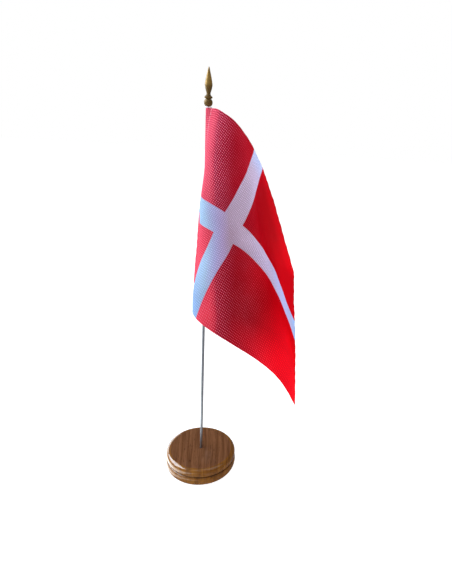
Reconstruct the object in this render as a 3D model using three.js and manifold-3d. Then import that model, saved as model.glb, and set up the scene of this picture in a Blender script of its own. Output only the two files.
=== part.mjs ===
// Desk flag stand: a turned wooden base on a felt pad, a steel rod, a moulded
// finial, a washer, and a table flag whose sleeve slides and turns on the rod.
// Millimetres, +Z up. The origin is the centre of the foot, on the desk; the
// rod's axis is Z; the flag hangs off towards -Y and +X.
import * as THREE from "three";
import { mergeVertices } from "three/addons/utils/BufferGeometryUtils.js";
import Module from "manifold-3d";

// ---- driving dimensions, mm ------------------------------------------------
const BASE_R = 36.0; // radius of the turned base above the groove
const BEAD_R = 36.6; // and of the bead below it
const BASE_FOOT_Z = 0.8; // the wood stands this far off the desk, on the pad
const BASE_TOP_Z = 18.9;
const BASE_TOP_R = 31.4; // edge of the flat top
const BASE_SIDE_TOP_Z = 15.0; // where the side turns over into the shoulder
const BASE_BOTTOM_R = 34.2;
const GROOVE_Z = 10.5; // V groove around the side
const GROOVE_R = 34.3;
const GROOVE_HALF_W = 1.5;

const PAD_R = 31.0;
const PAD_T = 1.2;
const PAD_RECESS_GAP = 0.3;

const ROD_R = 1.25;
const BORE_R = 1.55; // blind bore in the base, and socket in the finial
const BORE_BOTTOM_Z = 6.0;
const ROD_BOTTOM_Z = 6.4;
const FINIAL_Z = 362.0; // underside of the finial's ball
const SOCKET_DEPTH = 8.4;
const ROD_TOP_Z = FINIAL_Z + SOCKET_DEPTH - 0.4;
const FINIAL_L = 30.8;
const BALL_R = 3.65;
const COLLAR_R = 3.4;
const NOTCH_R = 2.2;
const NECK_R = 1.75;
const SPEAR_R = 3.2;

const WASHER_T = 0.8;
const WASHER_R = 3.3;
const WASHER_GAP = 0.3;

const FLAG_TOP_Z = FINIAL_Z - WASHER_GAP - WASHER_T - WASHER_GAP; // sleeve's upper end
const FLAG_HOIST = 150; // height of the cloth along the rod
const FLAG_FLY = 198; // length of the cloth away from the rod
const CLOTH_T = 0.6; // stand-in for about 0.3 mm of knitted cloth
const HEM_T = 1.1; // two layers, out to the folded edge of the sleeve
const HEM_END = 7.0; // the folded edge's distance from the rod's axis
const SLEEVE_RO = 2.2;
const SLEEVE_RI = 1.58;
const STITCH_S = 4.2; // the seam's distance from the rod's axis
const THREAD_R = 0.22;
const STITCH_SIDE = -1; // which face of the cloth carries the visible thread

// Control net of the hanging cloth: a cubic B-spline surface. Each row runs
// from the rod to the fly, the rows follow one another from the top edge down.
const NET = [
  [[0.0, 0.0, 360.6], [2.6, -1.7, 360.8], [7.2, -7.2, 361.1], [12.6, -15.9, 357.4], [18.9, -24.4, 353.9], [24.3, -32.7, 348.4], [29.0, -41.4, 342.2], [33.4, -50.8, 335.3], [36.4, -60.5, 328.4], [39.0, -70.2, 322.6], [40.5, -80.9, 317.5], [41.0, -92.0, 313.8], [42.0, -103.3, 308.9], [43.5, -114.8, 303.3], [44.1, -126.5, 298.0], [45.0, -138.7, 292.5], [45.8, -151.3, 286.7], [46.6, -164.4, 281.0], [47.3, -173.1, 277.0], [47.8, -177.6, 274.1]],
  [[0.0, 0.0, 357.7], [1.9, -2.1, 357.8], [6.2, -7.4, 358.0], [11.2, -16.0, 354.8], [17.4, -24.3, 351.0], [23.6, -32.4, 345.8], [28.6, -40.6, 339.9], [32.6, -49.5, 333.3], [37.0, -58.8, 326.9], [40.6, -68.4, 321.5], [40.1, -78.8, 316.1], [41.4, -90.2, 311.8], [42.0, -101.5, 306.8], [42.6, -112.9, 301.1], [43.9, -124.7, 295.9], [44.8, -136.8, 290.4], [45.2, -149.3, 284.7], [45.9, -162.2, 279.2], [47.2, -170.9, 275.3], [48.3, -175.3, 272.9]],
  [[0.0, 0.0, 351.9], [1.1, -2.6, 351.9], [2.9, -8.1, 352.1], [7.8, -16.4, 350.3], [14.1, -24.2, 345.9], [20.3, -31.6, 340.2], [27.8, -39.1, 335.1], [31.8, -47.0, 328.9], [35.4, -55.6, 322.6], [38.5, -64.6, 317.5], [40.7, -75.1, 312.3], [41.1, -86.4, 307.7], [40.5, -97.6, 302.5], [41.8, -109.1, 296.9], [42.8, -120.8, 291.6], [43.8, -132.9, 286.1], [44.1, -145.3, 280.5], [44.9, -158.1, 274.8], [47.2, -166.6, 271.1], [49.4, -171.0, 269.5]],
  [[0.0, 0.0, 342.7], [0.7, -2.8, 342.7], [-0.3, -8.5, 343.0], [2.7, -16.8, 342.3], [8.8, -24.3, 338.6], [15.4, -30.9, 332.3], [23.3, -37.2, 327.1], [29.5, -43.9, 321.4], [34.0, -51.4, 315.6], [37.7, -60.0, 310.0], [39.8, -70.1, 305.1], [38.5, -81.0, 300.6], [39.2, -92.1, 295.4], [41.3, -103.4, 290.0], [42.3, -115.0, 284.6], [43.2, -127.0, 279.2], [43.9, -139.3, 273.5], [45.8, -152.0, 268.0], [48.9, -160.6, 264.7], [51.0, -164.9, 263.2]],
  [[0.0, 0.0, 333.1], [0.4, -2.8, 333.2], [-1.0, -8.4, 332.9], [-0.9, -16.9, 332.7], [3.6, -24.6, 330.2], [11.1, -30.7, 324.7], [17.2, -36.2, 318.5], [25.4, -41.7, 313.3], [33.1, -47.9, 308.2], [38.5, -55.8, 302.5], [36.4, -65.3, 297.7], [37.0, -75.8, 293.0], [39.4, -86.7, 287.7], [40.9, -97.7, 282.4], [43.1, -109.2, 277.3], [44.0, -120.9, 271.9], [45.2, -133.2, 266.2], [48.0, -145.8, 260.9], [51.3, -154.3, 258.1], [52.7, -158.7, 256.3]],
  [[0.0, 0.0, 323.0], [-0.7, -2.9, 323.2], [0.3, -8.4, 322.7], [-1.7, -16.7, 322.2], [-0.9, -24.8, 320.4], [6.4, -31.0, 315.8], [14.5, -35.9, 310.2], [20.8, -40.5, 303.9], [28.9, -45.5, 299.1], [36.6, -51.7, 295.5], [37.5, -60.4, 291.0], [38.4, -70.4, 285.3], [40.4, -80.9, 280.2], [43.0, -91.8, 275.2], [43.1, -103.0, 269.2], [46.2, -114.7, 264.3], [48.2, -126.9, 258.8], [49.9, -139.6, 253.0], [52.7, -148.3, 249.8], [54.4, -152.6, 248.4]],
  [[0.0, 0.0, 312.4], [-1.5, -2.7, 312.5], [-0.1, -8.2, 311.9], [-1.5, -16.2, 311.1], [-3.1, -24.4, 309.5], [0.8, -31.4, 306.2], [10.3, -36.1, 301.2], [17.7, -40.0, 295.2], [24.4, -44.2, 290.0], [30.8, -49.1, 286.9], [37.8, -56.1, 283.0], [41.3, -65.3, 277.6], [40.9, -75.3, 271.7], [42.3, -85.9, 266.3], [47.3, -96.8, 261.9], [49.6, -108.4, 256.7], [50.7, -120.4, 250.8], [51.8, -133.1, 244.8], [54.3, -141.8, 241.7], [56.5, -146.1, 240.6]],
  [[0.0, 0.0, 301.2], [-1.7, -2.5, 301.3], [-2.4, -7.6, 300.9], [-2.1, -15.5, 299.8], [-3.7, -23.4, 298.0], [-4.2, -31.2, 295.4], [4.2, -36.6, 292.3], [13.4, -40.2, 286.9], [19.5, -43.4, 282.4], [26.2, -47.4, 277.8], [36.7, -52.8, 273.9], [41.1, -60.9, 268.1], [42.1, -70.0, 262.7], [43.7, -79.8, 257.8], [51.9, -90.5, 254.0], [52.9, -101.9, 248.3], [53.2, -113.9, 242.2], [54.9, -126.4, 236.4], [56.6, -135.1, 233.3], [58.5, -139.5, 232.4]],
  [[0.0, 0.0, 289.8], [-1.5, -2.4, 289.9], [-5.1, -6.7, 289.5], [-3.9, -14.1, 288.3], [-3.7, -21.8, 286.3], [-6.3, -29.6, 284.3], [-3.0, -36.6, 282.7], [6.6, -40.6, 279.2], [16.6, -43.1, 275.3], [24.3, -45.9, 270.0], [29.5, -50.6, 264.4], [37.5, -56.8, 258.9], [46.9, -64.3, 255.2], [51.2, -73.8, 250.7], [50.7, -84.4, 243.7], [54.1, -96.0, 238.5], [57.9, -108.0, 233.4], [60.4, -120.7, 227.8], [61.1, -129.4, 224.1], [60.5, -133.7, 222.6]],
  [[0.0, 0.0, 278.1], [-2.7, -1.3, 278.3], [-6.6, -4.9, 277.8], [-5.0, -11.8, 276.5], [-3.4, -19.3, 274.9], [-5.5, -27.2, 272.9], [-5.2, -35.1, 272.3], [1.5, -40.9, 270.2], [11.2, -44.2, 265.9], [19.3, -46.7, 260.3], [26.7, -49.0, 256.8], [35.6, -53.0, 252.9], [44.2, -59.9, 246.3], [50.7, -69.0, 239.7], [53.2, -79.5, 233.6], [56.2, -90.8, 228.2], [59.0, -102.9, 222.6], [61.8, -115.6, 216.9], [62.8, -124.5, 213.2], [62.7, -128.9, 211.6]],
  [[0.0, 0.0, 265.7], [-3.8, 0.1, 266.0], [-7.0, -2.2, 265.3], [-5.3, -8.8, 264.0], [-2.9, -16.3, 262.4], [-3.4, -24.5, 260.7], [-5.4, -32.9, 259.7], [-2.8, -40.9, 258.0], [4.8, -46.1, 255.0], [13.5, -48.9, 251.7], [23.7, -50.8, 248.9], [30.0, -53.9, 242.8], [36.9, -59.1, 235.4], [46.5, -66.2, 228.6], [54.8, -75.1, 222.8], [58.7, -86.0, 217.2], [60.4, -97.9, 211.1], [62.2, -110.7, 204.9], [63.2, -119.5, 201.3], [64.6, -123.9, 200.0]],
  [[0.0, 0.0, 252.4], [-3.4, 1.2, 252.8], [-8.4, 0.4, 251.8], [-6.3, -6.2, 250.3], [-2.4, -13.8, 248.8], [-2.5, -22.4, 247.2], [-6.2, -31.1, 246.0], [-5.9, -40.1, 244.8], [-1.1, -47.8, 243.2], [6.6, -52.5, 240.8], [15.5, -55.2, 236.7], [24.6, -57.6, 230.9], [31.9, -60.9, 223.8], [39.6, -65.7, 216.8], [51.0, -72.5, 210.8], [60.5, -81.6, 205.8], [64.8, -93.1, 199.9], [64.9, -105.6, 193.1], [65.6, -114.3, 189.4], [66.6, -118.8, 187.8]],
  [[0.0, 0.0, 238.8], [-3.2, 1.9, 239.3], [-8.6, 2.3, 238.0], [-7.8, -4.1, 236.3], [-4.0, -12.0, 234.9], [-3.3, -20.9, 233.3], [-3.8, -30.2, 232.0], [-6.7, -39.5, 230.9], [-6.7, -48.9, 230.0], [-0.8, -55.9, 228.1], [10.0, -59.8, 223.9], [19.0, -62.5, 217.8], [27.2, -64.6, 210.8], [36.1, -67.6, 203.9], [45.1, -72.5, 197.7], [56.9, -79.4, 192.9], [65.7, -89.1, 187.6], [68.9, -101.3, 181.2], [68.5, -109.8, 177.0], [68.5, -114.0, 175.2]],
  [[0.0, 0.0, 224.7], [-2.8, 2.2, 225.2], [-8.8, 3.4, 223.7], [-9.6, -2.8, 222.0], [-6.3, -11.2, 220.5], [-4.6, -20.3, 218.9], [-3.2, -30.2, 217.4], [-7.5, -40.0, 216.5], [-10.6, -49.9, 215.8], [-6.5, -58.8, 214.1], [3.5, -64.4, 209.7], [13.4, -67.8, 203.6], [22.6, -69.3, 197.1], [31.8, -70.8, 190.5], [40.4, -74.3, 183.8], [51.2, -79.9, 178.9], [62.6, -88.0, 173.9], [70.5, -99.0, 167.9], [70.6, -107.4, 163.4], [70.0, -111.3, 161.4]],
  [[0.0, 0.0, 215.1], [-2.6, 2.4, 215.5], [-8.6, 3.8, 214.0], [-10.3, -2.4, 212.2], [-7.6, -11.0, 210.7], [-5.5, -20.4, 209.1], [-4.9, -30.5, 207.7], [-7.8, -40.7, 206.6], [-10.4, -50.9, 205.8], [-8.5, -60.6, 204.1], [-1.5, -67.4, 200.0], [9.2, -71.2, 193.9], [18.6, -72.5, 187.7], [26.8, -73.0, 181.6], [39.1, -76.1, 174.8], [48.5, -81.0, 169.3], [58.9, -88.7, 164.2], [67.8, -99.4, 158.1], [70.0, -107.8, 153.5], [70.7, -111.9, 151.4]],
  [[0.0, 0.0, 210.2], [-2.3, 2.6, 210.7], [-8.6, 4.0, 209.2], [-10.6, -2.1, 207.3], [-8.3, -10.8, 205.9], [-6.4, -20.3, 204.4], [-5.2, -30.5, 202.9], [-7.2, -41.0, 201.8], [-9.8, -51.4, 200.9], [-9.3, -61.5, 199.0], [-3.7, -68.8, 195.2], [6.5, -72.9, 189.0], [16.3, -74.0, 183.0], [25.1, -74.1, 177.0], [37.4, -76.8, 170.3], [47.5, -81.3, 164.9], [57.4, -88.9, 159.6], [65.7, -99.6, 152.9], [68.9, -108.2, 148.2], [70.6, -112.5, 146.1]],
];

const BASE_SEGMENTS = 64;
const ROD_SEGMENTS = 24;
const FINIAL_SEGMENTS = 28;
const CLOTH_CELLS_S = 36;
const CLOTH_CELLS_T = 22;

// ---- helpers ---------------------------------------------------------------
const wasm = await Module();
wasm.setup();

function manifold(geometry) {
  const g = new THREE.BufferGeometry();
  const plain = geometry.index ? geometry.toNonIndexed() : geometry;
  g.setAttribute("position", plain.getAttribute("position"));
  const merged = mergeVertices(g, 1e-4);
  return new wasm.Manifold(
    new wasm.Mesh({
      numProp: 3,
      vertProperties: new Float32Array(merged.attributes.position.array),
      triVerts: new Uint32Array(merged.index.array),
    }),
  );
}

function geometryOf(solid) {
  const m = solid.getMesh();
  const pos = [];
  for (const v of m.triVerts)
    pos.push(
      m.vertProperties[v * m.numProp],
      m.vertProperties[v * m.numProp + 1],
      m.vertProperties[v * m.numProp + 2],
    );
  const g = new THREE.BufferGeometry();
  g.setAttribute("position", new THREE.Float32BufferAttribute(pos, 3));
  return g;
}

// A closed body of revolution about Z from [radius, z] points. The points run
// from the bottom, outward and up, so the faces look out.
function turned(points, segments) {
  const g = new THREE.LatheGeometry(
    points.map(([r, z]) => new THREE.Vector2(r, z)),
    segments,
  );
  g.rotateX(Math.PI / 2); // Y up to Z up
  const plain = new THREE.BufferGeometry();
  const flat = g.toNonIndexed();
  plain.setAttribute("position", flat.getAttribute("position"));
  const solid = manifold(plain);
  if (solid.volume() < 0) throw new Error("profile runs the wrong way");
  return solid;
}

function arc(cx, cz, r, from, to, n) {
  const out = [];
  for (let i = 0; i <= n; i++) {
    const a = ((from + ((to - from) * i) / n) * Math.PI) / 180;
    out.push([cx + r * Math.cos(a), cz + r * Math.sin(a)]);
  }
  return out;
}

// ---- base ------------------------------------------------------------------
function woodenBase() {
  const shoulder = [];
  // elliptical shoulder from the side up to the flat top
  const sideTopZ = BASE_SIDE_TOP_Z;
  for (let i = 0; i <= 8; i++) {
    const a = (i / 8) * (Math.PI / 2);
    shoulder.push([
      BASE_TOP_R + (BASE_R - BASE_TOP_R) * Math.cos(a) ** 0.9,
      sideTopZ + (BASE_TOP_Z - sideTopZ) * Math.sin(a),
    ]);
  }
  const recessZ = PAD_T + PAD_RECESS_GAP;
  const recessR = PAD_R + PAD_RECESS_GAP;
  return turned(
    [
      [0, recessZ],
      [recessR, recessZ],
      [recessR, BASE_FOOT_Z],
      [BASE_BOTTOM_R - 0.5, BASE_FOOT_Z],
      [BASE_BOTTOM_R, BASE_FOOT_Z + 0.3],
      [BASE_BOTTOM_R + (BEAD_R - BASE_BOTTOM_R) * 0.55, BASE_FOOT_Z + 1.3],
      [BEAD_R - 0.35, BASE_FOOT_Z + 2.8],
      [BEAD_R, BASE_FOOT_Z + 4.6],
      [BEAD_R - 0.1, GROOVE_Z - GROOVE_HALF_W - 1.6],
      [BEAD_R - 0.45, GROOVE_Z - GROOVE_HALF_W - 0.4],
      [BEAD_R - 1.1, GROOVE_Z - GROOVE_HALF_W * 0.5],
      [GROOVE_R + 0.15, GROOVE_Z - 0.35],
      [GROOVE_R, GROOVE_Z],
      [GROOVE_R + 0.15, GROOVE_Z + 0.35],
      [BASE_R - 0.6, GROOVE_Z + GROOVE_HALF_W * 0.6],
      [BASE_R - 0.2, GROOVE_Z + GROOVE_HALF_W],
      [BASE_R, GROOVE_Z + GROOVE_HALF_W + 1.2],
      ...shoulder,
      [BORE_R + 0.3, BASE_TOP_Z],
      [BORE_R, BASE_TOP_Z - 0.3],
      [BORE_R, BORE_BOTTOM_Z],
      [0, BORE_BOTTOM_Z - 0.6],
    ],
    BASE_SEGMENTS,
  );
}

function feltPad() {
  return turned(
    [
      [0, 0],
      [PAD_R - 0.2, 0],
      [PAD_R, 0.2],
      [PAD_R, PAD_T],
      [0, PAD_T],
    ],
    BASE_SEGMENTS,
  );
}

// ---- rod, finial, washer ---------------------------------------------------
function steelRod() {
  return turned(
    [
      [0, ROD_BOTTOM_Z],
      [ROD_R - 0.3, ROD_BOTTOM_Z],
      [ROD_R, ROD_BOTTOM_Z + 0.3],
      [ROD_R, ROD_TOP_Z - 0.3],
      [ROD_R - 0.3, ROD_TOP_Z],
      [0, ROD_TOP_Z],
    ],
    ROD_SEGMENTS,
  );
}

function finial() {
  const z = (f) => FINIAL_Z + f * FINIAL_L;
  const ballZ = 3.0; // centre of the ball above its flat underside
  const ball = arc(0, FINIAL_Z + ballZ, BALL_R, -52, 44, 9);
  return turned(
    [
      [0, FINIAL_Z + SOCKET_DEPTH + 0.6],
      [BORE_R, FINIAL_Z + SOCKET_DEPTH],
      [BORE_R, FINIAL_Z],
      ...ball,
      [NOTCH_R + 0.1, z(0.178)],
      [NOTCH_R, z(0.19)],
      [NOTCH_R + 0.2, z(0.2)],
      [COLLAR_R - 0.3, z(0.207)],
      [COLLAR_R, z(0.222)],
      [COLLAR_R, z(0.24)],
      [COLLAR_R - 0.35, z(0.256)],
      [NECK_R + 0.5, z(0.275)],
      [NECK_R + 0.1, z(0.3)],
      [NECK_R, z(0.33)],
      [NECK_R + 0.25, z(0.37)],
      [NECK_R + 0.75, z(0.42)],
      [SPEAR_R - 0.3, z(0.475)],
      [SPEAR_R - 0.05, z(0.52)],
      [SPEAR_R, z(0.545)],
      [SPEAR_R - 0.1, z(0.58)],
      [SPEAR_R - 0.45, z(0.65)],
      [SPEAR_R - 1.0, z(0.74)],
      [SPEAR_R - 1.65, z(0.83)],
      [SPEAR_R - 2.3, z(0.92)],
      [SPEAR_R - 2.75, z(0.98)],
      [0, z(1)],
    ],
    FINIAL_SEGMENTS,
  );
}

function washer() {
  const zb = FLAG_TOP_Z + WASHER_GAP;
  return turned(
    [
      [BORE_R, zb],
      [WASHER_R - 0.15, zb],
      [WASHER_R, zb + 0.15],
      [WASHER_R, zb + WASHER_T - 0.15],
      [WASHER_R - 0.15, zb + WASHER_T],
      [BORE_R, zb + WASHER_T],
      [BORE_R, zb],
    ],
    ROD_SEGMENTS,
  );
}

// ---- cloth -----------------------------------------------------------------
// Clamped cubic knots, a little denser at the low end.
function knots(n) {
  const inner = [];
  for (let i = 0; i < n - 2; i++) {
    const x = i / (n - 3);
    inner.push(0.72 * x + 0.28 * x * x);
  }
  return [0, 0, 0, ...inner, 1, 1, 1];
}
function basis(n, x) {
  const k = knots(n);
  const b = new Array(n + 3).fill(0);
  const t = Math.min(Math.max(x, 0), 1 - 1e-9);
  for (let i = 0; i < n + 3; i++) b[i] = t >= k[i] && t < k[i + 1] ? 1 : 0;
  for (let d = 1; d <= 3; d++)
    for (let i = 0; i + d < n + 3; i++) {
      const a = k[i + d] - k[i];
      const c = k[i + d + 1] - k[i + 1];
      b[i] =
        (a > 0 ? ((t - k[i]) / a) * b[i] : 0) +
        (c > 0 ? ((k[i + d + 1] - t) / c) * b[i + 1] : 0);
    }
  return b.slice(0, n);
}
function cloth(s, t) {
  const bu = basis(NET[0].length, s);
  const bv = basis(NET.length, t);
  const p = new THREE.Vector3();
  for (let j = 0; j < NET.length; j++) {
    if (bv[j] === 0) continue;
    for (let i = 0; i < NET[0].length; i++) {
      const w = bv[j] * bu[i];
      if (w === 0) continue;
      p.x += w * NET[j][i][0];
      p.y += w * NET[j][i][1];
      p.z += w * NET[j][i][2];
    }
  }
  return p;
}
function clothNormal(s, t) {
  const e = 2e-3;
  const du = cloth(Math.min(s + e, 1), t).sub(cloth(Math.max(s - e, 0), t));
  const dv = cloth(s, Math.min(t + e, 1)).sub(cloth(s, Math.max(t - e, 0)));
  return du.cross(dv).normalize();
}
// The value of s at which the cloth is r from the rod's axis.
function atRadius(r, t) {
  let lo = 0;
  let hi = 0.08;
  for (let i = 0; i < 40; i++) {
    const mid = (lo + hi) / 2;
    const p = cloth(mid, t);
    if (Math.hypot(p.x, p.y) < r) lo = mid;
    else hi = mid;
  }
  return hi;
}

function flagCloth() {
  const S = CLOTH_CELLS_S;
  const T = CLOTH_CELLS_T;
  const front = [];
  const back = [];
  for (let j = 0; j <= T; j++) {
    const t = j / T;
    const s0 = atRadius((SLEEVE_RI + SLEEVE_RO) / 2, t);
    const sHem = atRadius(HEM_END, t);
    for (let i = 0; i <= S; i++) {
      // two cells for the folded hem, the rest evenly out to the fly
      const s =
        i <= 3
          ? s0 + ((sHem - s0) * i) / 3
          : sHem + ((1 - sHem) * (i - 3)) / (S - 3);
      const half = (i <= 3 ? HEM_T : CLOTH_T) / 2;
      const p = cloth(s, t);
      const n = clothNormal(s, t);
      front.push(p.clone().addScaledVector(n, half));
      back.push(p.clone().addScaledVector(n, -half));
    }
  }
  const pos = [];
  const tri = (a, b, c) => pos.push(...a.toArray(), ...b.toArray(), ...c.toArray());
  const quad = (a, b, c, d) => {
    tri(a, b, c);
    tri(a, c, d);
  };
  const at = (side, i, j) => side[j * (S + 1) + i];
  for (let j = 0; j < T; j++)
    for (let i = 0; i < S; i++) {
      quad(at(front, i, j), at(front, i + 1, j), at(front, i + 1, j + 1), at(front, i, j + 1));
      quad(at(back, i, j), at(back, i, j + 1), at(back, i + 1, j + 1), at(back, i + 1, j));
    }
  for (let i = 0; i < S; i++) {
    quad(at(front, i, 0), at(back, i, 0), at(back, i + 1, 0), at(front, i + 1, 0));
    quad(at(front, i + 1, T), at(back, i + 1, T), at(back, i, T), at(front, i, T));
  }
  for (let j = 0; j < T; j++) {
    quad(at(front, 0, j + 1), at(back, 0, j + 1), at(back, 0, j), at(front, 0, j));
    quad(at(front, S, j), at(back, S, j), at(back, S, j + 1), at(front, S, j + 1));
  }
  const sheetGeometry = new THREE.BufferGeometry();
  sheetGeometry.setAttribute("position", new THREE.Float32BufferAttribute(pos, 3));
  let sheet = manifold(sheetGeometry);
  if (sheet.volume() < 0) throw new Error("the cloth is inside out");
  const zTop = FLAG_TOP_Z;
  const zBottom = cloth(0, 1).z;
  const sleeve = turned(
    [
      [SLEEVE_RI, zBottom],
      [SLEEVE_RO, zBottom],
      [SLEEVE_RO, zTop],
      [SLEEVE_RI, zTop],
      [SLEEVE_RI, zBottom],
    ],
    ROD_SEGMENTS,
  );
  const rodWay = turned(
    [
      [0, zBottom - 5],
      [SLEEVE_RI, zBottom - 5],
      [SLEEVE_RI, zTop + 5],
      [0, zTop + 5],
    ],
    ROD_SEGMENTS,
  );
  const whole = sheet.add(sleeve).subtract(rodWay);
  // nothing of the cloth reaches above the sleeve's cut end
  return whole.trimByPlane([0, 0, -1], -zTop);
}

// One thread along the sleeve's seam, just off the cloth's outer face.
function sleeveStitching() {
  const points = [];
  const n = 28;
  for (let i = 0; i <= n; i++) {
    const t = 0.012 + (0.976 * i) / n;
    const s = atRadius(STITCH_S, t);
    points.push(
      cloth(s, t).addScaledVector(
        clothNormal(s, t),
        STITCH_SIDE * (HEM_T / 2 + 0.3 + THREAD_R),
      ),
    );
  }
  const curve = new THREE.CatmullRomCurve3(points, false, "centripetal");
  const ring = 6;
  const steps = 56;
  const frames = curve.computeFrenetFrames(steps, false);
  const rows = [];
  for (let i = 0; i <= steps; i++) {
    const p = curve.getPointAt(i / steps);
    const row = [];
    for (let k = 0; k < ring; k++) {
      const a = (k / ring) * 2 * Math.PI;
      row.push(
        p
          .clone()
          .addScaledVector(frames.normals[i], THREAD_R * Math.cos(a))
          .addScaledVector(frames.binormals[i], THREAD_R * Math.sin(a)),
      );
    }
    rows.push(row);
  }
  const pos = [];
  const tri = (a, b, c) => pos.push(...a.toArray(), ...b.toArray(), ...c.toArray());
  for (let i = 0; i < steps; i++)
    for (let k = 0; k < ring; k++) {
      const l = (k + 1) % ring;
      tri(rows[i][k], rows[i][l], rows[i + 1][l]);
      tri(rows[i][k], rows[i + 1][l], rows[i + 1][k]);
    }
  for (let k = 1; k + 1 < ring; k++) {
    tri(rows[0][0], rows[0][k + 1], rows[0][k]);
    tri(rows[steps][0], rows[steps][k], rows[steps][k + 1]);
  }
  const g = new THREE.BufferGeometry();
  g.setAttribute("position", new THREE.Float32BufferAttribute(pos, 3));
  const solid = manifold(g);
  if (solid.volume() < 0) throw new Error("the thread is inside out");
  return solid;
}

// ---- assembly --------------------------------------------------------------
const group = new THREE.Group();
group.name = "desk_flag_stand";
const NODES = [
  ["wooden_base", woodenBase, 0x7a4e20],
  ["felt_pad", feltPad, 0x2f4a34],
  ["steel_rod", steelRod, 0xa9adb5],
  ["finial", finial, 0x9a7430],
  ["washer", washer, 0xe8e6f0],
  ["flag_cloth", flagCloth, 0xc01028],
  ["sleeve_stitching", sleeveStitching, 0xe890a0],
];
for (const [name, make, color] of NODES) {
  const mesh = new THREE.Mesh(
    geometryOf(make()),
    new THREE.MeshStandardMaterial({ color }),
  );
  mesh.name = name;
  group.add(mesh);
}

export default group;
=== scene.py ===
import math
import random

import bmesh
import bpy
import numpy as np
from mathutils import Matrix, Vector


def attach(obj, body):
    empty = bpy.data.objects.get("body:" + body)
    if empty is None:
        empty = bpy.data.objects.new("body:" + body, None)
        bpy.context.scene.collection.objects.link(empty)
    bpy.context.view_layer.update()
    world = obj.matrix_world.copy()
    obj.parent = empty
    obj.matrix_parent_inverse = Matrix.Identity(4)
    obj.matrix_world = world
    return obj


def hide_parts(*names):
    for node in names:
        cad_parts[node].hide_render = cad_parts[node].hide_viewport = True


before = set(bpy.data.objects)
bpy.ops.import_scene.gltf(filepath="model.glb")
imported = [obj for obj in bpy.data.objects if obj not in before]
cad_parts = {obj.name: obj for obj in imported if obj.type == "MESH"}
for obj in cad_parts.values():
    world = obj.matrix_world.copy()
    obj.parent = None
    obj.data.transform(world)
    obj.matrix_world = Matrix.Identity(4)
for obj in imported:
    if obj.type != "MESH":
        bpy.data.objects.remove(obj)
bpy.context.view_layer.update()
MM = 0.001
random.seed(7)
rng = np.random.default_rng(7)

# ---- dimensions, mm, the same as the frame's ---------------------------------
BASE_R, BASE_FOOT_Z, BASE_TOP_Z, BASE_TOP_R, BASE_BOTTOM_R = 36.0, 0.8, 18.9, 31.4, 34.2
BEAD_R, BASE_SIDE_TOP_Z = 36.6, 15.0
GROOVE_Z, GROOVE_R, GROOVE_HALF_W = 10.5, 34.3, 1.5
PAD_R, PAD_T = 31.0, 1.2
ROD_R, BORE_R, BORE_BOTTOM_Z, ROD_BOTTOM_Z = 1.25, 1.55, 6.0, 6.4
FINIAL_Z, FINIAL_L, SOCKET_DEPTH = 362.0, 30.8, 8.4
ROD_TOP_Z = FINIAL_Z + SOCKET_DEPTH - 0.4
BALL_R, COLLAR_R, NOTCH_R, NECK_R, SPEAR_R = 3.65, 3.4, 2.2, 1.75, 3.2
WASHER_T, WASHER_R, WASHER_GAP = 0.8, 3.3, 0.3
FLAG_TOP_Z = 360.6
FLY, HOIST = 194.3, 150.4  # cloth lengths from the rod's axis and along the rod
LOOP_R = 1.9  # middle of the cloth where it goes round the rod
SEAM_R, HEM_R = 4.2, 7.0  # seam and folded edge, from the rod's axis
CLOTH = 0.3  # thickness of the knitted cloth
BAR_S = (12 / 37, 16 / 37)  # the cross's upright bar, as shares of the fly
BAR_T = (12 / 28, 16 / 28)  # and the level bar, as shares of the hoist

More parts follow.
